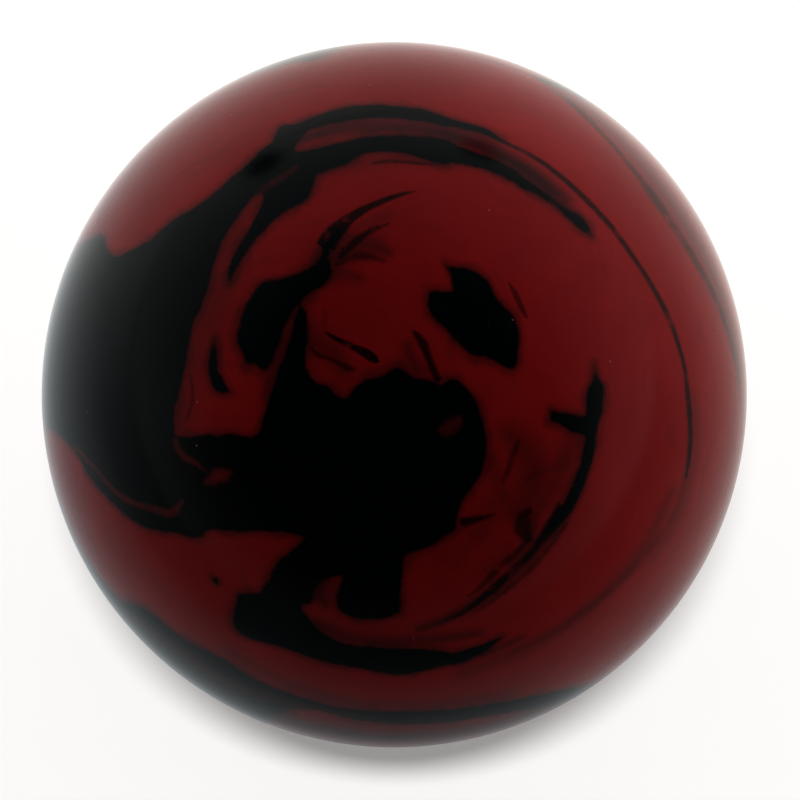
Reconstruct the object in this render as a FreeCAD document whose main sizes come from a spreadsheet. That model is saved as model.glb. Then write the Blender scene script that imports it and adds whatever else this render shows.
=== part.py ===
"""Small bowling ball without finger holes, for games such as duckpins.

A clear-tinted, marbled resin cover is cast round a dense core. A short locator pin, set in a
socket of the core, holds the core in the middle of the mould while the cover is poured, and is
ground flush with the ball. The origin is the ball's centre, +Z is up and +Y runs out through the
pin. Sizes are in millimetres, densities in grams per cubic centimetre.
"""

import FreeCAD
import Part
import Sketcher
import math
import os

DRIVING_SIZES = [
    # alias, value, what it is
    ("ball_diameter", 127.0, "5 in, over the finished cover"),
    ("cover_thickness", 12.7, "1/2 in of resin all round the core"),
    ("pin_diameter", 9.525, "3/8 in rod"),
    ("pin_seat_depth", 6.35, "1/4 in of the pin sits in the core"),
    ("pin_chamfer", 0.6, "leads the pin into its socket"),
    ("cover_density", 1.20, "unfilled casting resin"),
    ("core_density", 1.85, "resin filled with a heavy mineral"),
    ("pin_density", 1.20, "the cover's resin without its tint"),
]
ORIGIN_POINT = (-1, 1)  # Sketcher's numbers for a sketch's own origin
V_AXIS = -2  # for its vertical axis
START, END, CENTRE = 1, 2, 3  # and for the points of an edge
VOLUME_TOLERANCE = 1e-6  # of the solid's volume
GRAMS_PER_KG = 1000.0
MM3_PER_CM3 = 1000.0


def add_sheet(doc):
    """The spreadsheet that every sketch reads."""
    sheet = doc.addObject("Spreadsheet::Sheet", "Sizes")
    for row, (alias, value, meaning) in enumerate(DRIVING_SIZES, start=1):
        sheet.set(f"A{row}", meaning)
        sheet.set(f"B{row}", str(value))
        sheet.setAlias(f"B{row}", alias)
    doc.recompute()
    return sheet


def add_body(doc, label):
    body = doc.addObject("PartDesign::Body", label)
    body.Label = label
    body.Placement = FreeCAD.Placement()
    return body


def add_section(body, name):
    """A sketch on the body's XY plane. Its vertical axis is the ball's Y axis."""
    sketch = body.newObject("Sketcher::SketchObject", name)
    plane = next(f for f in body.Origin.OriginFeatures if f.Role == "XY_Plane")
    sketch.AttachmentSupport = [(plane, "")]
    sketch.MapMode = "FlatFace"
    return sketch


def add_line(sketch, start, end):
    ends = [FreeCAD.Vector(x, y, 0) for x, y in (start, end)]
    return sketch.addGeometry(Part.LineSegment(*ends), False)


def add_arc(sketch, radius, start_angle, end_angle):
    """An arc about the ball's centre, anticlockwise."""
    circle = Part.Circle(FreeCAD.Vector(0, 0, 0), FreeCAD.Vector(0, 0, 1), radius)
    arc = sketch.addGeometry(Part.ArcOfCircle(circle, start_angle, end_angle), False)
    sketch.addConstraint(Sketcher.Constraint("Coincident", arc, CENTRE, *ORIGIN_POINT))
    return arc


def join(sketch, *pairs):
    """Each pair is two edge ends that meet."""
    for (edge_a, point_a), (edge_b, point_b) in pairs:
        sketch.addConstraint(Sketcher.Constraint("Coincident", edge_a, point_a, edge_b, point_b))


def put_on(sketch, axis, *points):
    for edge, point in points:
        sketch.addConstraint(Sketcher.Constraint("PointOnObject", edge, point, axis))


def drive(sketch, name, constraint, expression):
    """Adds a dimension and ties it to the spreadsheet."""
    sketch.renameConstraint(sketch.addConstraint(constraint), name)
    sketch.setExpression(f".Constraints.{name}", expression)


def turn(body, kind, name, sketch):
    """A full turn of the section about the ball's Y axis: Revolution adds it and Groove cuts it."""
    feature = body.newObject(f"PartDesign::{kind}", name)
    feature.Profile = sketch
    feature.ReferenceAxis = (sketch, ["V_Axis"])
    feature.Angle = 360
    sketch.Document.recompute()
    return feature


def half_disc(body, name, radius, expression):
    """The section of a full ball."""
    sketch = add_section(body, name)
    arc = add_arc(sketch, radius, -math.pi / 2, math.pi / 2)
    axis_line = add_line(sketch, (0, -radius), (0, radius))
    join(sketch, ((arc, START), (axis_line, START)), ((arc, END), (axis_line, END)))
    put_on(sketch, V_AXIS, (axis_line, START), (axis_line, END))
    drive(sketch, "ball_radius", Sketcher.Constraint("Radius", arc, radius), expression)
    return sketch


def bore_section(body, name, size, bottom, bottom_expression, top, top_expression):
    """The section of a round hole along +Y, from bottom to top, one pin wide."""
    sketch = add_section(body, name)
    half = size.pin_diameter / 2
    floor = add_line(sketch, (0, bottom), (half, bottom))
    wall = add_line(sketch, (half, bottom), (half, top))
    mouth = add_line(sketch, (half, top), (0, top))
    axis_line = add_line(sketch, (0, top), (0, bottom))
    edges = [floor, wall, mouth, axis_line]
    for edge, following in zip(edges, edges[1:] + edges[:1]):
        join(sketch, ((edge, END), (following, START)))
    put_on(sketch, V_AXIS, (axis_line, START))
    for edge in (floor, mouth):
        sketch.addConstraint(Sketcher.Constraint("Horizontal", edge))
    for edge in (wall, axis_line):
        sketch.addConstraint(Sketcher.Constraint("Vertical", edge))
    reach = Sketcher.Constraint("DistanceX", floor, START, floor, END, half)
    low = Sketcher.Constraint("DistanceY", *ORIGIN_POINT, floor, START, bottom)
    high = Sketcher.Constraint("DistanceY", *ORIGIN_POINT, mouth, END, top)
    drive(sketch, "radius", reach, "Sizes.pin_diameter / 2")
    drive(sketch, "bottom", low, bottom_expression)
    drive(sketch, "top", high, top_expression)
    return sketch


def make_core(doc, size):
    """The heavy ball in the middle, with a flat-bottomed socket for the pin."""
    body = add_body(doc, "core")
    radius = size.ball_diameter / 2 - size.cover_thickness
    radius_expression = "Sizes.ball_diameter / 2 - Sizes.cover_thickness"
    turn(body, "Revolution", "CoreBall", half_disc(body, "CoreSection", radius, radius_expression))
    socket = bore_section(
        body,
        "SocketSection",
        size,
        radius - size.pin_seat_depth,
        f"{radius_expression} - Sizes.pin_seat_depth",
        radius,
        radius_expression,
    )
    turn(body, "Groove", "PinSocket", socket)
    return body


def make_cover(doc, size):
    """The marbled shell, with the hole that the pin leaves through it."""
    body = add_body(doc, "cover")
    outer = size.ball_diameter / 2
    inner = outer - size.cover_thickness
    sketch = add_section(body, "CoverSection")
    outside = add_arc(sketch, outer, -math.pi / 2, math.pi / 2)
    inside = add_arc(sketch, inner, -math.pi / 2, math.pi / 2)
    lower = add_line(sketch, (0, -outer), (0, -inner))
    upper = add_line(sketch, (0, inner), (0, outer))
    join(
        sketch,
        ((outside, START), (lower, START)),
        ((inside, START), (lower, END)),
        ((inside, END), (upper, START)),
        ((outside, END), (upper, END)),
    )
    put_on(sketch, V_AXIS, (lower, START), (lower, END), (upper, START), (upper, END))
    outer_radius = Sketcher.Constraint("Radius", outside, outer)
    inner_radius = Sketcher.Constraint("Radius", inside, inner)
    drive(sketch, "outer_radius", outer_radius, "Sizes.ball_diameter / 2")
    drive(sketch, "inner_radius", inner_radius, "Sizes.ball_diameter / 2 - Sizes.cover_thickness")
    turn(body, "Revolution", "Shell", sketch)
    bore = bore_section(
        body,
        "BoreSection",
        size,
        inner - size.pin_seat_depth,
        "Sizes.ball_diameter / 2 - Sizes.cover_thickness - Sizes.pin_seat_depth",
        outer,
        "Sizes.ball_diameter / 2",
    )
    turn(body, "Groove", "PinBore", bore)
    return body


def make_pin(doc, size):
    """A short rod from the floor of its socket to the ball's surface, where its end is ground round."""
    body = add_body(doc, "locator_pin")
    half = size.pin_diameter / 2
    outer = size.ball_diameter / 2
    bottom = outer - size.cover_thickness - size.pin_seat_depth
    rim = math.sqrt(outer**2 - half**2)
    sketch = add_section(body, "PinSection")
    floor = add_line(sketch, (0, bottom), (half - size.pin_chamfer, bottom))
    lead = add_line(sketch, (half - size.pin_chamfer, bottom), (half, bottom + size.pin_chamfer))
    wall = add_line(sketch, (half, bottom + size.pin_chamfer), (half, rim))
    dome = add_arc(sketch, outer, math.atan2(rim, half), math.pi / 2)
    axis_line = add_line(sketch, (0, outer), (0, bottom))
    edges = [floor, lead, wall, dome, axis_line]
    for edge, following in zip(edges, edges[1:] + edges[:1]):
        join(sketch, ((edge, END), (following, START)))
    put_on(sketch, V_AXIS, (axis_line, START), (axis_line, END))
    sketch.addConstraint(Sketcher.Constraint("Horizontal", floor))
    sketch.addConstraint(Sketcher.Constraint("Vertical", wall))
    end_radius = Sketcher.Constraint("Radius", dome, outer)
    low = Sketcher.Constraint("DistanceY", *ORIGIN_POINT, floor, START, bottom)
    reach = Sketcher.Constraint("DistanceX", *ORIGIN_POINT, wall, START, half)
    lead_width = Sketcher.Constraint("DistanceX", lead, START, lead, END, size.pin_chamfer)
    lead_height = Sketcher.Constraint("DistanceY", lead, START, lead, END, size.pin_chamfer)
    drive(sketch, "end_radius", end_radius, "Sizes.ball_diameter / 2")
    drive(sketch, "bottom", low, "Sizes.ball_diameter / 2 - Sizes.cover_thickness - Sizes.pin_seat_depth")
    drive(sketch, "radius", reach, "Sizes.pin_diameter / 2")
    drive(sketch, "lead_width", lead_width, "Sizes.pin_chamfer")
    drive(sketch, "lead_height", lead_height, "Sizes.pin_chamfer")
    turn(body, "Revolution", "Rod", sketch)
    return body


def ball_volume(radius):
    return 4 / 3 * math.pi * radius**3


def cap_volume(ball_radius, half_width):
    """What a ball has above the flat circle of that half width."""
    height = ball_radius - math.sqrt(ball_radius**2 - half_width**2)
    return math.pi * height**2 * (3 * ball_radius - height) / 3


def expected_volumes(size):
    """Worked out from the sizes alone, to catch a cut that removed nothing."""
    half = size.pin_diameter / 2
    outer = size.ball_diameter / 2
    inner = outer - size.cover_thickness
    area = math.pi * half**2
    outer_rim = math.sqrt(outer**2 - half**2)
    inner_rim = math.sqrt(inner**2 - half**2)
    socket_floor = inner - size.pin_seat_depth
    socket = area * (inner_rim - socket_floor) + cap_volume(inner, half)
    bore = area * (outer_rim - inner_rim) + cap_volume(outer, half) - cap_volume(inner, half)
    # The chamfer takes a ring off the rod's inner end: the rod less the cone that is left there.
    small = half - size.pin_chamfer
    cone = math.pi * size.pin_chamfer * (half**2 + half * small + small**2) / 3
    return {
        "core": ball_volume(inner) - socket,
        "cover": ball_volume(outer) - ball_volume(inner) - bore,
        "locator_pin": socket + bore - (area * size.pin_chamfer - cone),
    }


def check(doc, bodies, size):
    """Stops the build if a feature failed or a solid isn't what its sizes say."""
    for thing in doc.Objects:
        if "Invalid" in thing.State or "Error" in thing.State:
            raise RuntimeError(f"{thing.Label} failed: {thing.State}")
    expected = expected_volumes(size)
    for body in bodies:
        shape = body.Shape
        if shape.isNull() or not shape.isValid() or len(shape.Solids) != 1:
            raise RuntimeError(f"{body.Label} isn't one valid solid")
        if abs(shape.Volume - expected[body.Label]) > VOLUME_TOLERANCE * shape.Volume:
            wanted = expected[body.Label]
            raise RuntimeError(f"{body.Label} holds {shape.Volume:.1f} mm3, not {wanted:.1f}")


def print_masses(bodies, size):
    densities = {
        "core": size.core_density,
        "cover": size.cover_density,
        "locator_pin": size.pin_density,
    }
    grams = {b.Label: b.Shape.Volume / MM3_PER_CM3 * densities[b.Label] for b in bodies}
    for label, mass in grams.items():
        print(f"{label}: {mass:.1f} g")
    print(f"whole ball: {sum(grams.values()) / GRAMS_PER_KG:.4f} kg")


def main():
    doc = FreeCAD.newDocument("bowling_ball")
    size = add_sheet(doc)
    bodies = [make_core(doc, size), make_cover(doc, size), make_pin(doc, size)]
    doc.recompute()
    check(doc, bodies, size)
    print_masses(bodies, size)
    os.makedirs("parts", exist_ok=True)
    for body in bodies:
        body.Shape.exportStep(os.path.join("parts", f"{body.Label}.step"))


main()
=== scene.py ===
import math

import bpy
import numpy as np
from mathutils import Matrix, Vector


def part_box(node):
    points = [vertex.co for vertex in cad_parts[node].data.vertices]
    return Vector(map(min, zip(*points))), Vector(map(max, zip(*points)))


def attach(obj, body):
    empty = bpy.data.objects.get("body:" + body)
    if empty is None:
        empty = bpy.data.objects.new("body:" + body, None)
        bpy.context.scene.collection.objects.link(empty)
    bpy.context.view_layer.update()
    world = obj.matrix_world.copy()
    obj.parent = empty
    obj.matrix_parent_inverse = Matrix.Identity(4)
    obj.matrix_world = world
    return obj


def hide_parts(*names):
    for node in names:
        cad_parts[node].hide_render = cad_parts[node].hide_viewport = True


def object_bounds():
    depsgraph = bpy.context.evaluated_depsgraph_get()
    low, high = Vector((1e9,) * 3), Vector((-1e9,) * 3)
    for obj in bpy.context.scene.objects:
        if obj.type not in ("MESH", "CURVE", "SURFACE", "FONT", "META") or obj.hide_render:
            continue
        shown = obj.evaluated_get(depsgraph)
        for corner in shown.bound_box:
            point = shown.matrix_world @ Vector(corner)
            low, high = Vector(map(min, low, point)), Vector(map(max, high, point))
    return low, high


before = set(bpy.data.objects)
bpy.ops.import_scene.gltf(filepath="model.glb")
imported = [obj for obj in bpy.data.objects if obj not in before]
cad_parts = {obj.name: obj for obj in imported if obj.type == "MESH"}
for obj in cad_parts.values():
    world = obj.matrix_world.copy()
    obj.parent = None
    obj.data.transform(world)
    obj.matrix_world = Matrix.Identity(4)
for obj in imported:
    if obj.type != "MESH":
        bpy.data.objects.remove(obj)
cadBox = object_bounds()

print("frame loaded:", ", ".join(sorted(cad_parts)))

# The ball's own sizes, in metres, read from the frame
ball = {
    "radius": (cadBox[1].y - cadBox[0].y) / 2,
    "coreRadius": -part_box("core")[0].y,
    "pinRadius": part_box("locator_pin")[1].x,
    "pinFloor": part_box("locator_pin")[0].y,
}
mmPerRadius = ball["radius"] * 1000


class Wire:
    # A socket that takes part in Python maths: each operation adds a Math node to its tree
    def __init__(self, graph, socket):
        self.graph = graph
        self.socket = socket

    def maths(self, operation, *others):
        return self.graph.maths(operation, self, *others)

    def __add__(self, other):
        return self.maths("ADD", other)

    def __sub__(self, other):
        return self.maths("SUBTRACT", other)

    def __rsub__(self, other):
        return self.graph.maths("SUBTRACT", other, self)

    def __mul__(self, other):
        return self.maths("MULTIPLY", other)

    def __truediv__(self, other):
        return self.maths("DIVIDE", other)

    def __abs__(self):
        return self.maths("ABSOLUTE")

    __radd__ = __add__
    __rmul__ = __mul__


class Outputs:
    # A node's outputs, by name or by place
    def __init__(self, graph, made):
        self.graph = graph
        self.made = made

    def __getitem__(self, key):
        return Wire(self.graph, pickSocket(self.made.outputs, key))


class Graph:
    def __init__(self, tree):
        self.tree = tree

    # Any node: its type, its settings, which are set first, and the values or links of its sockets
    def node(self, kind, settings=None, sockets=None):
        made = self.tree.nodes.new(kind)
        for name, value in (settings or {}).items():
            setattr(made, name, value)
        for key, value in (sockets or {}).items():
            for one in value if isinstance(value, list) else [value]:
                slot = pickSocket(made.inputs, key)
                if isinstance(one, Wire):
                    self.tree.links.new(one.socket, slot)
                else:
                    slot.default_value = one
        return Outputs(self, made)

    def maths(self, operation, *values):
        return self.node("ShaderNodeMath", {"operation": operation}, dict(enumerate(values)))[0]

    def vectorMaths(self, operation, *values):
        made = self.node("ShaderNodeVectorMath", {"operation": operation}, dict(enumerate(values)))
        return made["Value" if operation in ("LENGTH", "DOT_PRODUCT") else "Vector"]

    def scaled(self, vector, share):
        return self.node("ShaderNodeVectorMath", {"operation": "SCALE"}, {0: vector, "Scale": share})[0]

    def joined(self, x=0.0, y=0.0, z=0.0):
        return self.node("ShaderNodeCombineXYZ", None, {"X": x, "Y": y, "Z": z})[0]

    def split(self, vector):
        return self.node("ShaderNodeSeparateXYZ", None, {0: vector})

    def mixColour(self, factor, low, high):
        slots = {"Factor": factor, "A": low, "B": high}
        return self.node("ShaderNodeMix", {"data_type": "RGBA"}, slots)["Result"]

    # 0 below low and 1 above high, with soft ends, or the other way round if low is above high
    def ease(self, value, low, high):
        slots = {"Value": value, "From Min": low, "From Max": high}
        return self.node("ShaderNodeMapRange", {"interpolation_type": "SMOOTHSTEP"}, slots)["Result"]

    def noise(self, vector, scale, detail=2.0, roughness=0.5, warp=0.0):
        return self.node("ShaderNodeTexNoise", None, {
            "Vector": vector, "Scale": scale, "Detail": detail,
            "Roughness": roughness, "Distortion": warp})["Fac"]


def pickSocket(sockets, key):
    if isinstance(key, int):
        return sockets[key]
    return next(s for s in sockets if s.name == key and s.enabled)


def newMaterial(name):
    material = bpy.data.materials.new(name)
    material.use_nodes = True
    material.node_tree.nodes.clear()
    return material, Graph(material.node_tree)


def finishMaterial(graph, surface):
    graph.node("ShaderNodeOutputMaterial", None, {"Surface": surface})


# The swirl turns about one axis, its eye. The eye leans a little from straight up towards the front.
swirl = {
    "eyeLean": math.radians(10),
    "splineSteps": 5,  # straight stretches from one point to the next
    "reach": 0.2,  # how far from a pour its distance matters, in ball radii
    "farAway": 20.0,  # what stands for out of reach, in widths of a soft edge
    "threadEnd": (1, 2),  # millimetres past its edge where a thread gives out, and how fast it does
    "leastSmoke": 0.1,  # the thinnest half width of smoke, in millimetres
    "faceArc": 82,  # degrees from the eye to where the face ends
    "bendIn": 14,  # and how many more it takes the bends to grow
    "bends": [(0.035, 7), (0.014, 17), (0.005, 41)],  # size in ball radii, and how close the waves are
    "bendSkew": 0.4,  # keeps the waves off the axes
    "bendPhases": (0, 1, 2),
}
eyeTurn = Matrix.Rotation(swirl["eyeLean"], 3, "X")

# Pours on the face, in the order they ran together. A pour is black unless it says red. Places are degrees of
# arc right and up from the eye, and a point given twice is a corner. A path's third number is its half width,
# in degrees too. The soft edge is in millimetres.
facePours = {
    "field": {"soft": 0.3, "outline": [
        (-84, 30), (-74, 33), (-63, 32), (-57, 31), (-55, 28), (-52.5, 26), (-50.5, 25.2),
        (-50.5, 25.2), (-45, 26.2), (-42.5, 27), (-40, 29), (-37, 30.6), (-34.5, 31.7), (-32, 33),
        (-30, 34.6), (-28, 36.5), (-25, 39.2), (-23, 41.6), (-21, 43.6), (-20.5, 46), (-19.5, 47.4),
        (-17, 46.8), (-14, 46.5), (-15.5, 44), (-16.5, 41), (-13, 40.5), (-12.5, 38), (-12.7, 35.5),
        (-12.8, 34.5), (-13.5, 31.5), (-15, 30.2), (-17, 29.2), (-20, 26.6), (-22.5, 23.6),
        (-24.6, 20.3), (-26, 17.3), (-26, 17.3), (-26.2, 19.5), (-25.3, 22.5), (-23.5, 26), (-22, 29),
        (-21.3, 31.5), (-21.8, 32.8), (-23.5, 31.6), (-26, 28), (-28, 24), (-29, 20.5), (-29.5, 17.5),
        (-30.6, 14), (-32, 11), (-32.6, 8), (-33, 5), (-33.7, 2.8), (-34.2, 0), (-35, -2), (-35.3, -4),
        (-35.2, -6.6), (-35.2, -6.6), (-33, -6.7), (-30, -6.3), (-27, -6.3), (-25, -6), (-22, -6.4),
        (-20.5, -5.7), (-19.8, -3.5), (-19, -1), (-18, 2), (-17, 4.6), (-16, 7.5), (-15.2, 10),
        (-14.7, 12.3), (-14.2, 13.5), (-14.2, 13.5), (-13.2, 12), (-13, 9), (-13.2, 5.5), (-12.8, 3.4),
        (-11.6, 1.8), (-9.8, 1.2), (-8.6, 0.2), (-7.4, -0.5), (-6.4, 0.2), (-5.4, 1.6), (-3.8, 2.4),
        (-2, 2.7), (-0.8, 3.4), (0.6, 4), (1.8, 3.2), (3.4, 2.4), (5.5, 2.1), (7, 1.6), (8, 2.2),
        (9, 2.3), (10.3, 1.3), (11.6, -0.1), (12.6, -2), (13.4, -4.5), (13.8, -7.5), (13.6, -10),
        (12.8, -12.2), (11.5, -14.2), (10.2, -16), (9.6, -18.2), (9.3, -20.4), (7.4, -21.8),
        (5.2, -23.3), (3, -24), (1.7, -25), (1.2, -28), (1, -31), (1, -34.8), (1, -34.8), (-1.5, -35.8),
        (-4.5, -36.1), (-7.2, -35.6), (-8.8, -34.4), (-9.1, -32), (-8.6, -29.8), (-8, -28.3),
        (-9.5, -28.4), (-11.8, -29.6), (-12.8, -31.6), (-13.2, -33), (-15, -34.3), (-14.4, -35.8),
        (-13, -37.8), (-11.2, -39.6), (-8.6, -41.2), (-5, -41.7), (0, -42), (5, -42.3), (8, -42.9),
        (10, -43.5), (12, -42.7), (15, -41.8), (18.3, -40.5), (18.3, -40.5), (16, -43.2), (13.5, -44.8),
        (11, -45.9), (7.5, -46.5), (4, -47.7), (0, -48), (-5, -46.9), (-10, -46), (-14, -45),
        (-18, -43.5), (-22, -42.7), (-25, -42.2), (-27, -41), (-27.7, -39), (-26.8, -36),
        (-26.2, -34.2), (-25.8, -32.9), (-25.8, -32.9), (-23.6, -32.5), (-22, -32.2), (-20.4, -30.1),
        (-19.2, -27.8), (-17.8, -25.8), (-15.6, -23.9), (-13.8, -22), (-13.8, -22), (-16.5, -21.3),
        (-20, -21.3), (-25, -21.6), (-29.8, -21.9), (-31.3, -23.1), (-33.3, -23.5), (-36, -23),
        (-39.4, -23.2), (-42.6, -23), (-46.3, -21.8), (-50, -19.6), (-53.8, -17.2), (-57, -14.6),
        (-59.4, -11.8), (-63.4, -9.4), (-69.5, -7.6), (-79, -6), (-88, -2)]},
    "barNotch": {"tint": "red", "soft": 0.6, "outline": [
        (-30, -14.2), (-28.8, -12.8), (-28, -11.7), (-25.3, -11.9), (-25.6, -12.9), (-27.6, -13.8)]},
    "outerArc": {"soft": 0.35, "path": [
        (-19, 45.6, 1.2), (-16, 46.2, 1.2), (-13, 47.4, 1.5), (-10, 48.2, 1.8), (-5, 49, 1.8),
        (0, 48.9, 1.6), (5, 48, 1.5), (8, 47, 1.1), (11, 46.2, 0.9), (15, 45.3, 0.75), (17.5, 44, 0.5)]},
    "innerArc": {"soft": 0.35, "path": [
        (-17, 36, 3), (-13, 38.3, 2.7), (-9, 39.5, 2.4), (-5, 41.2, 1.8), (0, 41.4, 1.8),
        (5, 40.8, 2.4), (8, 40, 2.7), (11, 39.3, 1.7), (15, 38.2, 1.5), (19, 36.4, 1.3), (22, 34.4, 1),
        (25, 32.6, 0.6), (27.5, 30.8, 0.6), (29.5, 29.4, 1), (31.2, 28, 1.1), (32.6, 26.4, 0.1)]},
    "kidney": {"soft": 0.35, "outline": [
        (-24.2, 8.3), (-23.8, 11), (-23.2, 13.2), (-21.8, 15.8), (-20.2, 17.2), (-17.5, 17.7),
        (-15, 18.4), (-12.6, 19.6), (-11.2, 21.3), (-10.4, 23.4), (-9.6, 25), (-8.6, 25.8),
        (-8.2, 24.6), (-9.4, 22.8), (-10, 20.6), (-9.4, 18.6), (-10.4, 16.8), (-12, 15.6),
        (-13.8, 14.4), (-15.4, 12.4), (-16.8, 9.5), (-17.6, 6.8), (-18.4, 4.8), (-19.7, 3.8),
        (-21, 4.6), (-22.8, 4.7), (-22.8, 4.7), (-23.2, 6.4)]},
    "slit": {"soft": 0.25, "outline": [
        (-27.9, 8.6), (-27.9, 8.6), (-27.4, 6.4), (-27.3, 4.2), (-26.6, 2.6), (-25.2, 0.5),
        (-25.2, 0.5), (-26.6, 0.2), (-27.8, 0.7), (-28.5, 2.2), (-29, 4.6), (-28.7, 6.9)]},
    "blob": {"soft": 0.3, "outline": [
        (7.7, 19.6), (7.7, 19.6), (8.4, 18.2), (8.9, 15.6), (8.9, 15.6), (5.2, 15.4), (5.2, 15.4),
        (5, 13.2), (6, 11.4), (7.5, 9.8), (9.2, 8), (10.4, 6.6), (12, 5.9), (13.8, 5.5), (15.6, 4.6),
        (17.2, 3.9), (18.3, 4.3), (18.7, 6.5), (19, 9), (18.4, 11.2), (17.2, 13), (15.5, 14.8),
        (14.6, 16.8), (13, 18.3), (11, 19.2), (9, 19.4)]},
    "hook": {"soft": 0.3, "outline": [
        (31.5, 4.4), (31.5, 4.4), (32.2, 2.8), (33.1, 1.4), (33.2, -0.4), (32.8, -2.6), (32.1, -5.4),
        (31.8, -8.4), (31, -11.6), (29.9, -14.8), (28.4, -18), (26, -21), (24.6, -21.6), (25.4, -19),
        (27, -16.2), (28.3, -13), (29.4, -10), (29.8, -7), (29.4, -6.3), (27.4, -5.7), (25.6, -4.7),
        (23.8, -4), (23.8, -4), (24, -2.4), (24, -2.4), (27, -2.9), (29.8, -3.2), (29.9, -1),
        (30.3, 0.8), (31.2, 2.4)]},
    "lowShore": {"soft": 0.5, "outline": [
        (-76, -22), (-73, -29), (-68.5, -35), (-62.6, -39.6), (-56, -42.6), (-51.5, -41.6),
        (-46.4, -42.2), (-38.7, -46.6), (-31.5, -48.9), (-25.5, -53), (-18, -55.9), (-9.6, -58.4),
        (1.1, -58.9), (10, -59), (20, -58.8), (30, -59.4), (38, -61.5), (45, -65), (52, -68), (46, -71),
        (36, -67.5), (28, -64.8), (20, -63.6), (10, -63.8), (0, -63.6), (-8, -62), (-14, -60.2),
        (-18.5, -60.4), (-23, -64), (-27.5, -70), (-31.5, -78), (-38, -86), (-48, -90), (-60, -82),
        (-74, -62), (-86, -42), (-92, -25), (-84, -19)]},
    "topEdge": {"soft": 0.4, "outline": [
        (-37, 78), (-31, 73.4), (-25.5, 71), (-21, 71.4), (-17.5, 70.2), (-15, 72.8), (-12, 78),
        (-12, 85), (-21, 90), (-32, 87), (-40, 82)]},
    "dot": {"soft": 0.2, "path": [(-29.8, -30.8, 0.55), (-29.6, -31, 0.5)]},
}

# Pours round the sides and underneath. Places are the clock angle about the eye and the degrees from it.
backPours = {
    "fieldTail": {"soft": 0.4, "path": [
        (171, 80, 14), (169, 92, 13), (162, 102, 10.5), (148, 109, 8.5), (130, 113, 6.5), (110, 114, 5),
        (88, 112, 3.6), (66, 108, 2.6), (46, 104, 1.8), (30, 101, 0.4)]},
    "fieldDrop": {"soft": 0.4, "path": [
        (176, 88, 8), (186, 100, 9), (194, 112, 8), (206, 122, 7), (222, 128, 5.5), (240, 130, 4),
        (258, 129, 2.6), (275, 126, 1.2), (286, 124, 0.3)]},
    "tailCut": {"tint": "red", "soft": 0.4, "path": [
        (166, 96, 0.2), (158, 101, 1.2), (146, 105.5, 1.4), (134, 109, 1), (122, 111, 0.2)]},
    "shoreTail": {"soft": 0.4, "path": [
        (232, 80, 10), (226, 91, 9), (217, 99, 7.5), (206, 105, 6), (196, 111, 5)]},
    "shoreSpur": {"soft": 0.4, "path": [
        (238, 92, 4), (250, 99, 3.4), (264, 102.5, 2.6), (278, 102, 3), (292, 99, 2.2), (304, 94, 0.4)]},
    "topTail": {"soft": 0.4, "path": [
        (110, 82, 5), (103, 88, 4.8), (95, 93, 3.8), (84, 96.5, 2.8), (72, 97, 1.5), (61, 95, 0.3)]},
    "sideArc": {"soft": 0.4, "path": [
        (65, 75, 0.6), (60, 79.5, 2.4), (52, 85, 4.4), (41, 89, 5.2), (29, 91.5, 4.2), (15, 93, 2.8),
        (-2, 92.5, 1.8), (-18, 90, 1.1), (-32, 86.5, 0.3)]},
    "sideCut": {"tint": "red", "soft": 0.4, "path": [
        (50, 82, 0.2), (42, 87, 1), (32, 90.4, 1.2), (22, 92.6, 0.7), (12, 93.6, 0.1)]},
    "sideBand": {"soft": 0.4, "path": [
        (34, 103, 0.3), (22, 104.5, 1.6), (6, 104, 2.6), (-10, 104, 3.6), (-28, 106, 4.6),
        (-46, 110, 4.4), (-62, 116, 3.2), (-78, 120, 2), (-94, 121, 0.5)]},
    "lowMass": {"soft": 0.4, "path": [
        (-30, 118, 2), (-15, 124, 7), (2, 130, 10), (22, 136, 12), (48, 140, 11), (75, 143, 8),
        (100, 144, 5), (125, 142, 3), (145, 138, 1)]},
    "massCut": {"tint": "red", "soft": 0.4, "path": [
        (0, 126, 0.2), (14, 130, 1.3), (30, 133, 1.6), (48, 134.5, 1), (62, 135, 0.2)]},
    "footMass": {"soft": 0.4, "path": [
        (236, 142, 2), (262, 146, 6), (290, 152, 9), (330, 158, 10), (380, 165, 9), (450, 168, 7)]},
    "backBlob": {"soft": 0.35, "path": [
        (56, 120, 1.2), (62, 122.5, 3), (69, 124, 3.6), (77, 123, 2), (84, 120.5, 0.3)]},
    "leftBlob": {"soft": 0.35, "path": [
        (104, 129, 0.4), (112, 127, 2.4), (122, 124.5, 1.4), (132, 124, 0.2)]},
    "rightBlob": {"soft": 0.35, "path": [
        (304, 84, 0.3), (310, 88, 2.2), (318, 91, 2.8), (327, 91, 1.6), (336, 89, 0.2)]},
}

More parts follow.
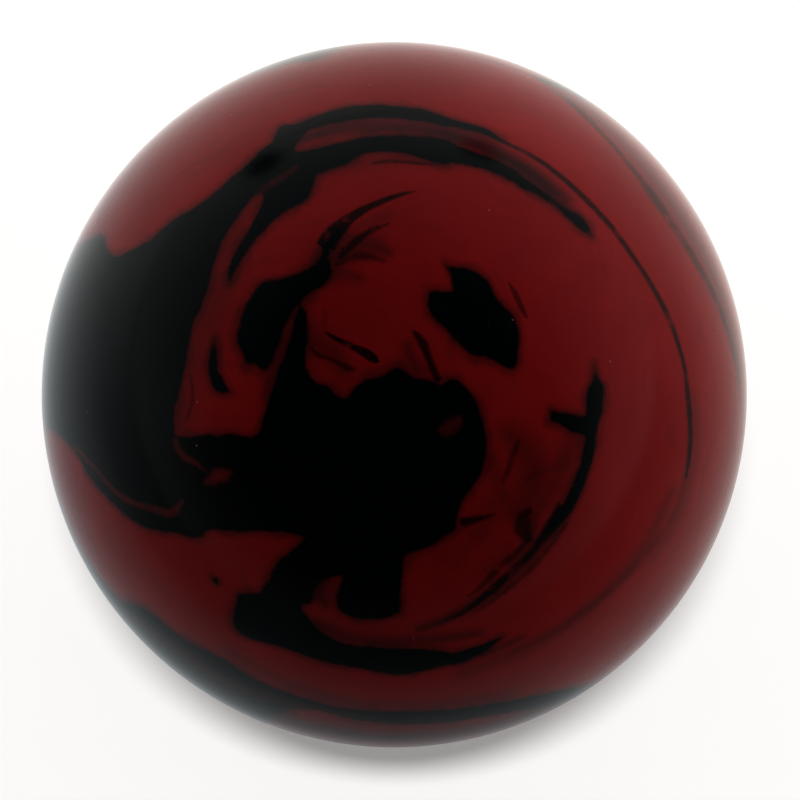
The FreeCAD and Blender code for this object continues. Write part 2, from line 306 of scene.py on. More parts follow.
# Threads, too thin to be pours. Strength 1 is solid. Those of one layer keep clear of each other.
faceThreads = {
    "blackThread": [
        {"soft": 0.3, "strength": 0.88, "path": [
            (15, 45.4, 0.5), (19, 43, 0.5), (22, 41.6, 0.5), (25, 39.8, 0.6), (28, 37.5, 0.6),
            (31, 34.8, 0.65), (34, 31.8, 0.7), (37, 28.6, 0.65), (40, 24.6, 0.6), (43, 20.6, 0.55),
            (46, 16, 0.65), (48.3, 11.8, 0.65), (50, 7.6, 0.55), (51.2, 3.6, 0.55), (51.8, -1, 0.7),
            (52.6, -6, 0.7), (52.8, -11, 0.6), (52.4, -15, 0.3)]},
        {"soft": 0.25, "strength": 0.92, "path": [
            (-10.6, 22.6, 1.6), (-9.5, 24.6, 1.5), (-7.6, 26.7, 1.1), (-5.6, 28.3, 0.75),
            (-2.5, 30, 0.6), (0.8, 31.4, 0.4), (3.4, 32.1, 0.1)]},
        {"soft": 0.2, "strength": 0.95, "path": [
            (-10.4, 9.4, 0.1), (-9, 8.5, 0.35), (-7.2, 7.6, 0.45), (-5.5, 6.8, 0.55), (-4, 6, 0.75),
            (-3, 5.3, 0.7), (-2.2, 4.8, 0.2)]},
        {"soft": 0.25, "strength": 0.7, "path": [
            (17.4, 17.4, 0.1), (18.4, 15.6, 0.4), (19.4, 13.4, 0.5), (20.4, 11.4, 0.1)]},
        {"soft": 0.35, "strength": 0.9, "path": [
            (2.6, 9.6, 0.1), (3.5, 8.6, 0.6), (4.4, 7.2, 0.75), (5, 5.6, 0.6), (5.8, 3.6, 0.6),
            (6.6, 2, 0.6)]},
        {"soft": 0.5, "strength": 0.7, "path": [
            (-8.8, 19.8, 0.4), (-6.2, 21, 0.7), (-3.6, 20.9, 0.6), (-1.2, 20.1, 0.2)]},
        {"soft": 0.8, "strength": 0.7, "path": [
            (32.4, 66.4, 0.6), (34.9, 62, 1.1), (38.3, 56.4, 1.1), (40.7, 52.2, 0.8), (43.3, 47.9, 0.8),
            (46.4, 43.1, 0.9), (49.6, 38.2, 1.6), (53.2, 32.6, 1.4), (59, 25.4, 1.3), (64.4, 18.4, 1.2),
            (68.7, 11, 1.1), (72, 3.6, 0.8), (74, -4, 0.2)]},
        {"soft": 0.3, "strength": 0.5, "path": [
            (-32.3, 3.6, 0.1), (-31.8, 1, 0.3), (-31.8, -1.2, 0.35), (-32.6, -3.4, 0.4),
            (-33.6, -4.4, 0.1)]},
        {"soft": 0.4, "strength": 0.65, "path": [
            (19, -6.4, 0.1), (18.2, -8.4, 0.5), (17.4, -10.8, 0.5), (16.4, -13.6, 0.1)]},
        {"soft": 0.4, "strength": 0.9, "path": [
            (10.2, -19.5, 0.9), (12.6, -18.9, 0.6), (15.6, -18.3, 0.1)]},
        {"soft": 0.35, "strength": 0.75, "path": [
            (-4, 37.4, 0.1), (-1, 37.8, 0.4), (1.4, 37.7, 0.35), (4.6, 37.4, 0.3), (7.6, 37.4, 0.1)]},
        {"soft": 0.45, "strength": 0.9, "path": [
            (26, -17, 0.5), (24.6, -20.8, 0.9), (21.6, -25, 0.7), (18.7, -28, 0.6), (16.4, -30.2, 0.8),
            (13.6, -33, 0.6), (11, -35.2, 0.45), (7, -37, 0.2)]},
    ],
    "blackWisp": [
        {"soft": 1.1, "strength": 0.42, "path": [
            (52.6, -9, 0.6), (52, -16, 0.8), (50.4, -21, 0.8), (47.4, -25.4, 0.9), (43, -30, 0.9),
            (37.6, -34.6, 0.8), (32, -38.4, 0.8), (26, -41.8, 0.6), (20, -44.6, 0.2)]},
        {"soft": 0.3, "strength": 0.7, "path": [
            (-12.6, 7.2, 0.1), (-11.4, 6, 0.4), (-10, 5.5, 0.3), (-8, 4.6, 0.35), (-6.8, 3.9, 0.5),
            (-5.6, 3.7, 0.2)]},
        {"soft": 0.35, "strength": 0.85, "path": [
            (-8.6, 20.6, 0.3), (-7.2, 22, 0.6), (-5.6, 23.7, 0.6), (-4.2, 24.8, 0.55),
            (-2.6, 25.7, 0.45), (-0.6, 26.4, 0.1)]},
        {"soft": 0.45, "strength": 0.75, "path": [
            (21.3, -22.4, 0.2), (18.9, -25, 0.5), (16.4, -27.4, 0.7), (14, -30.2, 0.5),
            (11.6, -32.2, 0.1)]},
        {"soft": 0.4, "strength": 0.6, "path": [
            (27.6, -20.4, 0.2), (24.2, -25, 0.5), (20.6, -29, 0.5), (16, -33, 0.4), (10.6, -37, 0.1)]},
        {"soft": 0.5, "strength": 0.85, "path": [
            (21.2, -17.6, 0.5), (20.1, -19, 1.2), (19.9, -20.6, 1.4), (20.8, -22.2, 0.9),
            (21.8, -23.2, 0.2)]},
    ],
    "redThread": [
        {"soft": 0.4, "strength": 0.55, "path": [
            (-61, -9.6, 0.4), (-58.2, -11.2, 0.5), (-54.4, -13.4, 0.5), (-51.2, -15.8, 0.45),
            (-47.9, -17.8, 0.5), (-44.2, -18.8, 0.5), (-40.1, -19.3, 0.55), (-37.2, -19.6, 0.6),
            (-35.5, -18.5, 0.5), (-34, -16.9, 0.1)]},
        {"soft": 1.2, "strength": 0.3, "path": [
            (-60, -44, 0.3), (-50, -48, 1.6), (-40, -52.4, 1.8), (-30, -57, 1.6), (-18, -59.6, 0.8),
            (-8, -60.4, 0.2)]},
        {"soft": 0.4, "strength": 0.6, "path": [
            (-35.2, -6.8, 0.4), (-34.8, -8.4, 0.5), (-33.6, -9.8, 0.5), (-31.6, -10.8, 0.4),
            (-29.4, -12.2, 0.1)]},
        {"soft": 0.6, "strength": 0.36, "path": [
            (-23.4, 31.2, 0.4), (-21.6, 33.5, 0.5), (-19.6, 35, 0.45), (-17.9, 35.9, 0.45),
            (-15.7, 37.8, 0.2)]},
        {"soft": 0.6, "strength": 0.5, "path": [
            (6.6, -5.2, 0.5), (8, -5, 1.1), (9.2, -4, 0.9), (9.9, -3.2, 0.3)]},
    ],
}
backThreads = {
    "blackThread": [
        {"soft": 0.25, "strength": 0.85, "path": [
            (153, 89, 0.2), (142, 92.5, 0.6), (130, 93, 0.8), (120, 96.5, 0.5), (110, 104, 0.5),
            (100, 106, 0.2)]},
        {"soft": 0.25, "strength": 0.8, "path": [
            (14, 98, 0.2), (0, 98.6, 0.6), (-12, 97, 0.9), (-22, 97.6, 0.6), (-36, 100, 0.4),
            (-44, 99, 0.1)]},
        {"soft": 0.25, "strength": 0.8, "path": [
            (246, 88, 0.2), (256, 91.5, 0.7), (266, 92, 0.9), (278, 89.5, 0.6), (292, 88.5, 0.4),
            (300, 86, 0.1)]},
        {"soft": 0.25, "strength": 0.8, "path": [
            (206, 134, 0.2), (222, 138, 0.8), (238, 138, 0.6), (252, 135, 0.7), (268, 135.5, 0.4),
            (280, 138, 0.1)]},
    ],
    "blackWisp": [
        {"soft": 0.5, "strength": 0.6, "path": [
            (148, 85, 0.2), (136, 88, 1), (124, 88.5, 0.8), (114, 91, 0.2)]},
        {"soft": 0.5, "strength": 0.6, "path": [
            (-38, 94, 0.2), (-52, 96, 0.8), (-66, 95, 0.7), (-80, 97, 0.2)]},
    ],
    "redThread": [
        {"soft": 0.35, "strength": 0.8, "path": [
            (182, 100, 0.2), (192, 108, 0.8), (204, 117, 0.9), (220, 124, 0.6), (236, 127, 0.1)]},
        {"soft": 0.35, "strength": 0.8, "path": [
            (238, 84, 0.2), (232, 90, 0.8), (224, 95, 1), (214, 100, 0.7), (204, 104, 0.1)]},
    ],
}

# Smoke: thin black in the red, without an edge
faceSmoke = [
    {"strength": 0.42, "path": [(-34, -5, 2), (-33.4, 3, 3.6), (-30.6, 10, 3.6), (-27, 17, 3), (-24, 23, 2)]},
    {"strength": 0.55, "path": [(-13.6, 10, 1.6), (-11.2, 7.6, 2.2), (-9, 6, 2), (-7.4, 3.6, 1.4)]},
    {"strength": 0.4, "path": [(14.6, -9.6, 1.6), (16, -13, 2), (17, -17, 1.4)]},
    {"strength": 0.5, "path": [
        (35, 68, 3), (42, 58, 3.4), (49, 48, 3.8), (56, 38, 4), (63, 28, 3.6), (69, 17, 3.2),
        (74, 6, 2.6)]},
    {"strength": 0.9, "path": [
        (-15, 43.6, 1.6), (-8, 45, 1.8), (0, 45.2, 2), (8, 44, 2), (15, 41.6, 2.2), (22, 37.6, 2.2),
        (28, 32.6, 2)]},
    {"strength": 0.7, "path": [(-10, 20.5, 2.6), (-6.5, 22.8, 2.8), (-3, 22.6, 2), (-1, 21.6, 1)]},
    {"strength": 0.55, "path": [(-11.4, 17.8, 1.6), (-8.4, 18.4, 1.8), (-5.4, 17.6, 1)]},
    {"strength": 0.6, "path": [
        (-13.4, 15.4, 1.4), (-15, 12, 1.5), (-16.6, 7.5, 1.5), (-18, 3.4, 1.4), (-19.4, 0, 1)]},
    {"strength": 0.75, "path": [(-10.4, -26, 1.8), (-12, -30.6, 1.8), (-11, -33.4, 1)]},
    {"strength": 0.6, "path": [(17.5, -6, 2), (21, -10, 3.2), (21.5, -14.5, 3.2), (18.5, -18, 2)]},
    {"strength": 0.65, "path": [(10.4, -45.6, 1), (16.4, -43.8, 1.1), (21.6, -41.4, 0.8)]},
    # These two wide bands darken the red towards the bottom of the face
    {"strength": 0.8, "path": [(-22, -68, 5), (-8, -70, 6), (8, -71, 6), (24, -70, 5), (36, -69, 4)]},
    {"strength": 0.4, "path": [
        (-30, -46, 1.5), (-20, -52, 1.5), (-8, -56, 1.6), (6, -56.6, 1.6), (22, -56, 1.6)]},
    {"strength": 0.35, "path": [(-9, 24, 1.5), (-5, 26, 1.5), (-1, 28, 1)]},
    {"strength": 0.6, "path": [(2, 7.2, 1), (2.6, 5, 1.2), (4, 3.6, 1.4)]},
    {"strength": 0.4, "path": [(-23, 30, 1), (-25.5, 26, 1.2), (-27.6, 21, 1.2)]},
    {"strength": 0.4, "path": [(-12, 36, 1.2), (-6, 37.4, 1.5), (2, 38, 1.2), (8, 37.6, 0.8)]},
    {"strength": 0.8, "path": [
        (26, -20, 1.8), (23, -23.6, 1.6), (20, -27.4, 1.3), (16.5, -30.8, 1.2), (12, -34, 1.1),
        (7.5, -36.6, 1), (4, -38, 0.8)]},
    {"strength": 0.7, "path": [(21.8, -18.5, 1), (21.4, -21.4, 1.2), (20.2, -24.6, 1), (18.5, -27, 0.8)]},
    {"strength": 0.5, "path": [(28, -8, 3), (25, -13, 3), (22, -17, 3)]},
    {"strength": 0.3, "path": [(20, -6, 2), (18.5, -11, 2), (16, -16, 2), (13, -21, 2)]},
    {"strength": 0.3, "path": [(18, -24, 1.5), (14.6, -28, 1.5)]},
    {"strength": 0.3, "path": [(53, -1, 1.5), (54.4, -8, 2), (54, -15, 2), (51.6, -22, 1.8), (47, -29, 1.5)]},
    {"strength": 0.4, "path": [
        (49, -17, 1.2), (45, -25, 1.6), (40, -31.5, 1.6), (34.5, -36.6, 1.5), (28.6, -41.4, 1.4),
        (21, -45, 1.4), (12, -48.5, 1.2)]},
    {"strength": 0.65, "path": [
        (-12, -37.6, 1.4), (-7, -40, 1.6), (-1, -40.6, 1.5), (6, -40.4, 1.3), (14, -39.4, 1)]},
    {"strength": 0.5, "path": [(-10.4, 12.4, 0.3), (-10.4, 9.6, 0.3)]},
]
backSmoke = [
    {"strength": 0.6, "path": [(40, 97, 2), (20, 98.5, 3), (0, 99.5, 2.6), (-20, 99, 2)]},
    {"strength": 0.55, "path": [(146, 94, 2), (124, 99, 3), (104, 106, 3), (84, 106, 2)]},
    {"strength": 0.6, "path": [(222, 112, 3), (244, 116, 4), (268, 112, 3), (292, 108, 2)]},
    {"strength": 0.6, "path": [(-60, 124, 3), (-40, 126, 4), (-20, 134, 4), (10, 146, 3)]},
    {"strength": 0.5, "path": [(252, 86, 3), (270, 86, 3.5), (288, 92, 3), (300, 98, 2)]},
    {"strength": 0.5, "path": [(-50, 88, 2), (-30, 92, 3), (-14, 97, 2)]},
    {"strength": 0.5, "path": [(66, 116, 2), (84, 119, 3), (104, 122, 3)]},
]


def flatPlace(points, onFace):
    # (right, up) on the face, or (clock, arc) elsewhere, as right and up in degrees
    points = np.array(points, float)
    if not onFace:
        clock = np.radians(points[:, 0])
        arc = points[:, 1].copy()
        points[:, 0] = arc * np.cos(clock)
        points[:, 1] = arc * np.sin(clock)
    return points


def toSphere(places):
    # Degrees right and up from the eye, as unit vectors with +Z through the eye
    turned = np.radians(places[:, :2])
    arc = np.hypot(turned[:, 0], turned[:, 1])
    stretch = np.where(arc < 1e-9, 1.0, np.sin(arc) / np.maximum(arc, 1e-9))
    return np.stack([turned[:, 0] * stretch, turned[:, 1] * stretch, np.cos(arc)], 1)


def smoothLine(points, closed):
    # A spline through every point, with a corner where a point is given twice
    count = len(points)
    line = []
    for i in range(count if closed else count - 1):
        near = [i - 1, i, i + 1, i + 2]
        before, start, end, after = (points[k % count if closed else min(max(k, 0), count - 1)] for k in near)
        if np.allclose(start, end):
            continue
        leave = (end - start) if np.allclose(before, start) else (end - before) / 2
        arrive = (end - start) if np.allclose(end, after) else (after - start) / 2
        for t in np.arange(swirl["splineSteps"]) / swirl["splineSteps"]:
            line.append(
                (2 * t**3 - 3 * t**2 + 1) * start
                + (t**3 - 2 * t**2 + t) * leave
                + (3 * t**2 - 2 * t**3) * end
                + (t**3 - t**2) * arrive
            )
    return np.array(line if closed else line + [points[-1]])


def nearestOnLine(places, starts, ends):
    # Distance to the nearest stretch, which stretch it is, and how far along it
    along = ends - starts
    lengthSquared = np.maximum((along**2).sum(1), 1e-12)
    reach = places @ along.T - (starts * along).sum(1)
    share = np.clip(reach / lengthSquared, 0, 1)
    squared = 1 + (starts**2).sum(1) - 2 * (places @ starts.T) - 2 * share * reach + share**2 * lengthSquared
    nearest = np.argmin(squared, 1)
    rows = np.arange(len(places))
    return np.sqrt(np.maximum(squared[rows, nearest], 0)), nearest, share[rows, nearest]


def isInside(flat, outline):
    x, y = flat[:, 0], flat[:, 1]
    result = np.zeros(len(flat), bool)
    for (ax, ay), (bx, by) in zip(outline, np.roll(outline, -1, 0)):
        if ay != by:
            result ^= ((ay > y) != (by > y)) & (x < (bx - ax) * (y - ay) / (by - ay) + ax)
    return result


def bend(directions, arc):
    # Past the face, the swirl meanders: waves along each axis, in several sizes
    share = np.clip((arc - swirl["faceArc"]) / swirl["bendIn"], 0, 1)[:, None]
    shift = np.zeros_like(directions)
    across = np.roll(directions, 1, 1) + swirl["bendSkew"] * np.roll(directions, 2, 1)
    for size, waves in swirl["bends"]:
        shift += size * np.sin(waves * across + swirl["bendPhases"])
    bent = directions + share * shift
    return bent / np.linalg.norm(bent, axis=1, keepdims=True)


class Skin:
    # The cover's vertices as directions from the centre, in the swirl's own frame
    def __init__(self, mesh):
        self.mesh = mesh
        places = np.empty(len(mesh.vertices) * 3, np.float32)
        mesh.vertices.foreach_get("co", places)
        places = places.reshape(-1, 3).astype(float)
        places /= np.linalg.norm(places, axis=1, keepdims=True)
        self.directions = places @ np.array(eyeTurn)
        arc = np.degrees(np.arccos(np.clip(self.directions[:, 2], -1, 1)))
        across = np.maximum(np.hypot(self.directions[:, 0], self.directions[:, 1]), 1e-9)
        self.flat = self.directions[:, :2] * (arc / across)[:, None]
        self.bent = bend(self.directions, arc)

    def near(self, line, directions):
        # The vertices near enough to a line for it to matter
        middle = line.mean(0)
        middle /= np.linalg.norm(middle)
        span = np.arccos(np.clip(line @ middle, -1, 1)).max() + swirl["reach"]
        return np.nonzero(directions @ middle > math.cos(min(span, math.pi)))[0]

    def store(self, name, kind, values):
        attribute = self.mesh.attributes.new(name, kind, "POINT")
        field = "value" if kind == "FLOAT" else "vector"
        attribute.data.foreach_set(field, values.astype(np.float32).ravel())


def pathField(skin, shape, onFace):
    # Which vertices are near a path, their distance from it and its half width there, in millimetres,
    # their side of it, and whether they lie off its ends
    rounded = smoothLine(np.array(shape["path"], float), closed=False)
    line = toSphere(flatPlace(rounded, onFace))
    halfWidth = np.radians(rounded[:, 2]) * mmPerRadius
    directions = skin.directions if onFace else skin.bent
    near = skin.near(line, directions)
    points = directions[near]
    distance, stretch, share = nearestOnLine(points, line[:-1], line[1:])
    width = halfWidth[stretch] * (1 - share) + halfWidth[stretch + 1] * share
    across = np.cross(line[stretch], line[stretch + 1])
    side = np.sign((across * points).sum(1))
    onEnd = ((stretch == 0) & (share <= 0)) | ((stretch == len(line) - 2) & (share >= 1))
    return near, distance * mmPerRadius, width, np.where(side == 0, 1, side), onEnd


def outlineField(skin, shape):
    outline = smoothLine(np.array(shape["outline"], float), closed=True)
    line = toSphere(outline)
    near = skin.near(line, skin.directions)
    distance = nearestOnLine(skin.directions[near], line, np.roll(line, -1, 0))[0] * mmPerRadius
    return near, np.where(isInside(skin.flat[near], outline), -distance, distance)


def placed(face, back):
    # Each shape, and whether it is on the face
    return [(shape, True) for shape in face] + [(shape, False) for shape in back]


def layPours(skin):
    # "ink": how far outside the black each vertex is, counted in widths of its soft edge
    ink = np.full(len(skin.directions), swirl["farAway"])
    for shape, onFace in placed(facePours.values(), backPours.values()):
        if "outline" in shape:
            near, field = outlineField(skin, shape)
        else:
            near, distance, width = pathField(skin, shape, onFace)[:3]
            field = distance - width
        field = field / shape["soft"]
        if shape.get("tint") == "red":
            ink[near] = np.maximum(ink[near], -field)
        else:
            ink[near] = np.minimum(ink[near], field)
    skin.store("ink", "FLOAT", np.clip(ink, -swirl["farAway"], swirl["farAway"]))


def layThreads(skin, layer):
    # The distance to the nearest thread, signed by its side, and its half width, both in widths of its soft
    # edge, and its strength. Past its ends and far from it the half width is below zero, so nothing shows.
    threads = np.tile([swirl["farAway"], -swirl["farAway"], 0.0], (len(skin.directions), 1))
    best = np.full(len(skin.directions), swirl["farAway"])
    margin, speed = swirl["threadEnd"]
    for shape, onFace in placed(faceThreads[layer], backThreads[layer]):
        near, distance, width, side, onEnd = pathField(skin, shape, onFace)
        closer = distance - width < best[near]
        near, distance, width, side, onEnd = (part[closer] for part in (near, distance, width, side, onEnd))
        best[near] = distance - width
        fade = speed * (np.maximum(distance - width - margin, 0) + np.where(onEnd, distance, 0))
        soft = shape["soft"]
        values = [side * distance / soft, (width - fade) / soft, np.full(len(near), shape["strength"])]
        threads[near] = np.stack(values, 1)
    skin.store(layer, "FLOAT_VECTOR", np.clip(threads, -swirl["farAway"], swirl["farAway"]))


def laySmoke(skin):
    smoke = np.zeros(len(skin.directions))
    for shape, onFace in placed(faceSmoke, backSmoke):
        near, distance, width = pathField(skin, shape, onFace)[:3]
        reached = distance / np.maximum(width, swirl["leastSmoke"])
        density = shape["strength"] * np.exp(-(reached**2))
        smoke[near] = np.maximum(smoke[near], density)
    skin.store("smoke", "FLOAT", smoke)


coverShape = {
    "segments": 408,  # round the eye
    "rings": 236,  # from the eye to the far side
    "crowding": 0.3,  # how much closer the rings lie at the eye than elsewhere
    "boreSides": 96,
    "innerSegments": 64,
    "innerRings": 32,
    "sharpAngle": math.radians(30),
}


def buildBallTree(material):
    # A shell round the core, drilled for the pin, with rings that crowd towards the eye
    tree = bpy.data.node_groups.new("ballShell", "GeometryNodeTree")
    graph = Graph(tree)
    tree.interface.new_socket("Geometry", in_out="OUTPUT", socket_type="NodeSocketGeometry")
    sizes = {
        "Radius": ("NodeSocketFloat", ball["radius"]),
        "Core Radius": ("NodeSocketFloat", ball["coreRadius"]),
        "Pin Radius": ("NodeSocketFloat", ball["pinRadius"]),
        "Segments": ("NodeSocketInt", coverShape["segments"]),
        "Rings": ("NodeSocketInt", coverShape["rings"]),
        "Crowding": ("NodeSocketFloat", coverShape["crowding"]),
    }
    values = {}
    for name, (kind, value) in sizes.items():
        socket = tree.interface.new_socket(name, in_out="INPUT", socket_type=kind)
        values[socket.identifier] = value
    given = graph.node("NodeGroupInput")

    sphere = graph.node("GeometryNodeMeshUVSphere", None, {
        "Segments": given["Segments"], "Rings": given["Rings"], "Radius": 1.0})["Mesh"]
    place = graph.split(graph.node("GeometryNodeInputPosition")[0])
    evenArc = place["Z"].maths("ARCCOSINE")
    sine = evenArc.maths("SINE")
    arc = evenArc - given["Crowding"] * sine
    out = arc.maths("SINE") / sine
    crowded = graph.joined(place["X"] * out, place["Y"] * out, arc.maths("COSINE"))
    outside = graph.node("GeometryNodeSetPosition", None, {"Geometry": sphere, "Position": crowded})[0]
    wide = graph.joined(given["Radius"], given["Radius"], given["Radius"])
    outside = graph.node("GeometryNodeTransform", None, {
        "Geometry": outside, "Rotation": (swirl["eyeLean"], 0, 0), "Scale": wide})[0]

    inside = graph.node("GeometryNodeMeshUVSphere", None, {
        "Segments": coverShape["innerSegments"], "Rings": coverShape["innerRings"],
        "Radius": given["Core Radius"]})["Mesh"]
    drill = graph.node("GeometryNodeMeshCylinder", None, {
        "Vertices": coverShape["boreSides"], "Radius": given["Pin Radius"], "Depth": given["Radius"]})["Mesh"]
    along = graph.joined(y=given["Radius"])
    drill = graph.node("GeometryNodeTransform", None, {
        "Geometry": drill, "Rotation": (math.radians(90), 0, 0), "Translation": along})[0]
    shell = graph.node("GeometryNodeMeshBoolean", {"operation": "DIFFERENCE"}, {
        "Mesh 1": outside, "Mesh 2": [inside, drill]})["Mesh"]

    solid = graph.node("GeometryNodeRealizeInstances", None, {"Geometry": shell})[0]
    coloured = graph.node("GeometryNodeSetMaterial", None, {"Geometry": solid, "Material": material})[0]
    graph.node("NodeGroupOutput", None, {"Geometry": coloured})
    return tree, values


def makeCover(material):
    holder = bpy.data.objects.new("coverMaker", bpy.data.meshes.new("coverMaker"))
    bpy.context.collection.objects.link(holder)
    tree, values = buildBallTree(material)
    modifier = holder.modifiers.new("shell", "NODES")
    modifier.node_group = tree
    for identifier, value in values.items():
        modifier[identifier] = value
    evaluated = holder.evaluated_get(bpy.context.evaluated_depsgraph_get())
    mesh = bpy.data.meshes.new_from_object(evaluated)
    mesh.name = "marbled_cover"
    bpy.data.objects.remove(holder)
    cover = bpy.data.objects.new("marbled_cover", mesh)
    bpy.context.collection.objects.link(cover)
    mesh.shade_smooth()
    mesh.set_sharp_from_angle(angle=coverShape["sharpAngle"])
    return cover


resin = {
    "red": (0.215, 0.006, 0.0065, 1),
    "deepRed": (0.18, 0.0046, 0.005, 1),
    "richness": (1, 0.15, 0, 0.6, 0.28),  # its way right and up, where the red starts and ends getting lighter, and how much lighter
    "brown": (0.02, 0.0035, 0.004, 1),
    "vein": (0.085, 0.006, 0.006, 1),
    "black": (0.0002, 0.001, 0.0012, 1),
    "blueBlack": (0.0008, 0.002, 0.0026, 1),
    # Each grain: its scale, then its detail, roughness and distortion
    "streakGrain": (1.6, 4, 0.6, 0.4),
    "streakStretch": (1.2, 1.2, 9),  # round the eye, and out from it
    "streakWobble": 0.5,
    "wobbleGrain": (45, 2),
    "cloudGrain": (60, 3, 0.55, 0.3),
    "redClouds": (0.6, 0.4, 0.36, 0.64),  # shares of cloud and streak, and where the red changes
    "blackClouds": (0.42, 0.66),
    "faintStreaks": (0.52, 0.78, 0.28),  # where a streak shows in the red, and how strongly
    "wander": 3.4,  # how far an edge strays, in widths of its soft edge, in big steps
    "wanderGrain": (380, 4, 0.65),
    "fineWander": 1.6,  # and in small ones
    "fineGrain": (1500, 3, 0.6),
    "pourEdge": (1.5, -1.2),
    "threadEdge": (1.2, -1.2),
    "threadWander": 0.5,
    "threadBody": (0.2, 0.5),
    "bodyGrain": (300, 3, 0.6),
    "halo": (9, 6, 0.6),  # how ragged the brown round the black is, how wide, and how strong
    "haloGrain": (260, 3),
    "veil": (0.55, 0.9),  # the smoke's strength, and how much its streaks add
    "seam": (0.00008, 0.0003),
    "seamStrength": 0.9,
    "fleck": (0.3, 0.17, 0.17, 1),
    "fleckCells": 250,
    "fleckSize": (0.06, 0.025),
    "fleckChance": (0.78, 0.8),
    "fleckStrength": 0.5,
    "roughness": 0.095,
    "polish": (0.06, 0.03),  # how much rougher it gets, in big patches and in small ones
    "patchGrain": (90, 3),
    "scuffGrain": (2600, 2),
    "bump": (0.06, 0.0001),  # strength, and depth in metres
    "bumpGrain": (900, 3),
    "fleckBump": 2,  # how far a fleck stands out, next to that grain
    "ior": 1.137,
}


def marbledResin():
    material, graph = newMaterial("marbledResin")
    where = graph.node("ShaderNodeTexCoord")["Object"]
    ink = graph.node("ShaderNodeAttribute", {"attribute_name": "ink"})["Fac"]
    smoke = graph.node("ShaderNodeAttribute", {"attribute_name": "smoke"})["Fac"]

    # Streaks that follow the swirl: coordinates stretched round the eye
    turned = graph.node("ShaderNodeMapping", {"vector_type": "TEXTURE"}, {
        "Vector": where, "Rotation": (swirl["eyeLean"], 0, 0)})[0]
    place = graph.split(turned)
    arc = (place["Z"] / ball["radius"]).maths("ARCCOSINE")
    clock = graph.split(graph.vectorMaths("NORMALIZE", graph.joined(place["X"], place["Y"])))
    wobble = graph.noise(where, *resin["wobbleGrain"]) * resin["streakWobble"]
    along, beside, outward = resin["streakStretch"]
    streakSpace = graph.joined(clock["X"] * along, clock["Y"] * beside, (arc + wobble) * outward)
    streak = graph.noise(streakSpace, *resin["streakGrain"])
    cloud = graph.noise(where, *resin["cloudGrain"])

    # The black's edge wanders a little, in big and small steps
    bigSteps = (graph.noise(where, *resin["wanderGrain"]) - 0.5) * resin["wander"]
    wander = bigSteps + (graph.noise(where, *resin["fineGrain"]) - 0.5) * resin["fineWander"]
    edge = ink + wander
    pourMask = graph.ease(edge, *resin["pourEdge"])
    ragged, haloWidth, haloStrength = resin["halo"]
    halo = graph.ease(edge + (graph.noise(where, *resin["haloGrain"]) - 0.5) * ragged, haloWidth, 0)

    # A thread is thick in some places and thin in others
    body = graph.ease(graph.noise(where, *resin["bodyGrain"]), *resin["threadBody"])

    def threadMask(name):
        # Its three numbers: the distance, the half width and the strength
        thread = graph.split(graph.node("ShaderNodeAttribute", {"attribute_name": name})["Vector"])
        outside = abs(thread["X"]) - thread["Y"] + wander * resin["threadWander"]
        return graph.ease(outside, *resin["threadEdge"]) * thread["Z"] * body

    blackThread = threadMask("blackThread")
    blackWisp = threadMask("blackWisp")
    redThread = threadMask("redThread")
    veilStart, veilStreaks = resin["veil"]
    veil = smoke * (streak * veilStreaks + veilStart)
    faintStart, faintFull, faintStrength = resin["faintStreaks"]
    faint = graph.ease(streak, faintStart, faintFull) * faintStrength

    cloudShare, streakShare, deepest, reddest = resin["redClouds"]
    redness = graph.ease(cloud * cloudShare + streak * streakShare, deepest, reddest)
    redBody = graph.mixColour(redness, resin["deepRed"], resin["red"])
    # The red gets lighter towards the right of the eye, and a little towards its top
    right, up, gainFrom, gainTo, gain = resin["richness"]
    slope = (place["X"] * right + place["Y"] * up) / ball["radius"]
    redBody = graph.scaled(redBody, graph.ease(slope, gainFrom, gainTo) * gain + 1)
    redBody = graph.mixColour(faint, redBody, resin["brown"])
    redBody = graph.mixColour(halo * haloStrength, redBody, resin["brown"])
    blackBody = graph.mixColour(graph.ease(cloud, *resin["blackClouds"]), resin["black"], resin["blueBlack"])
    smoky = graph.mixColour(veil, redBody, resin["brown"])
    colour = graph.mixColour(pourMask, smoky, blackBody)
    colour = graph.mixColour(blackThread, colour, resin["black"])
    colour = graph.mixColour(blackWisp, colour, resin["black"])
    colour = graph.mixColour(redThread, colour, resin["vein"])

    # A dark line of old polish in the seam round the pin
    own = graph.split(where)
    out = (own["X"] * own["X"] + own["Z"] * own["Z"]).maths("SQRT")
    inner, outer = (ball["pinRadius"] + gap for gap in resin["seam"])
    seam = graph.ease(out, outer, inner) * graph.ease(own["Y"], 0, ball["pinFloor"])
    colour = graph.mixColour(seam * resin["seamStrength"], colour, resin["black"])

    # Sparse pale flecks of dust and lint, a few tenths of a millimetre across
    cells = graph.node("ShaderNodeTexVoronoi", {"feature": "F1"}, {
        "Vector": where, "Scale": resin["fleckCells"]})
    chance = graph.node("ShaderNodeSeparateColor", None, {0: cells["Color"]})["Red"]
    fleck = graph.ease(cells["Distance"], *resin["fleckSize"]) * graph.ease(chance, *resin["fleckChance"])
    colour = graph.mixColour(fleck * resin["fleckStrength"], colour, resin["fleck"])

    patchy, fine = resin["polish"]
    patches = graph.noise(where, *resin["patchGrain"]) * patchy
    roughness = patches + graph.noise(where, *resin["scuffGrain"]) * fine + resin["roughness"]
    strength, depth = resin["bump"]
    height = graph.noise(where, *resin["bumpGrain"]) + fleck * resin["fleckBump"]
    normal = graph.node("ShaderNodeBump", None, {
        "Strength": strength, "Distance": depth, "Height": height})["Normal"]
    shader = graph.node("ShaderNodeBsdfPrincipled", None, {
        "Base Color": colour, "Roughness": roughness, "IOR": resin["ior"], "Normal": normal})["BSDF"]
    finishMaterial(graph, shader)
    return material


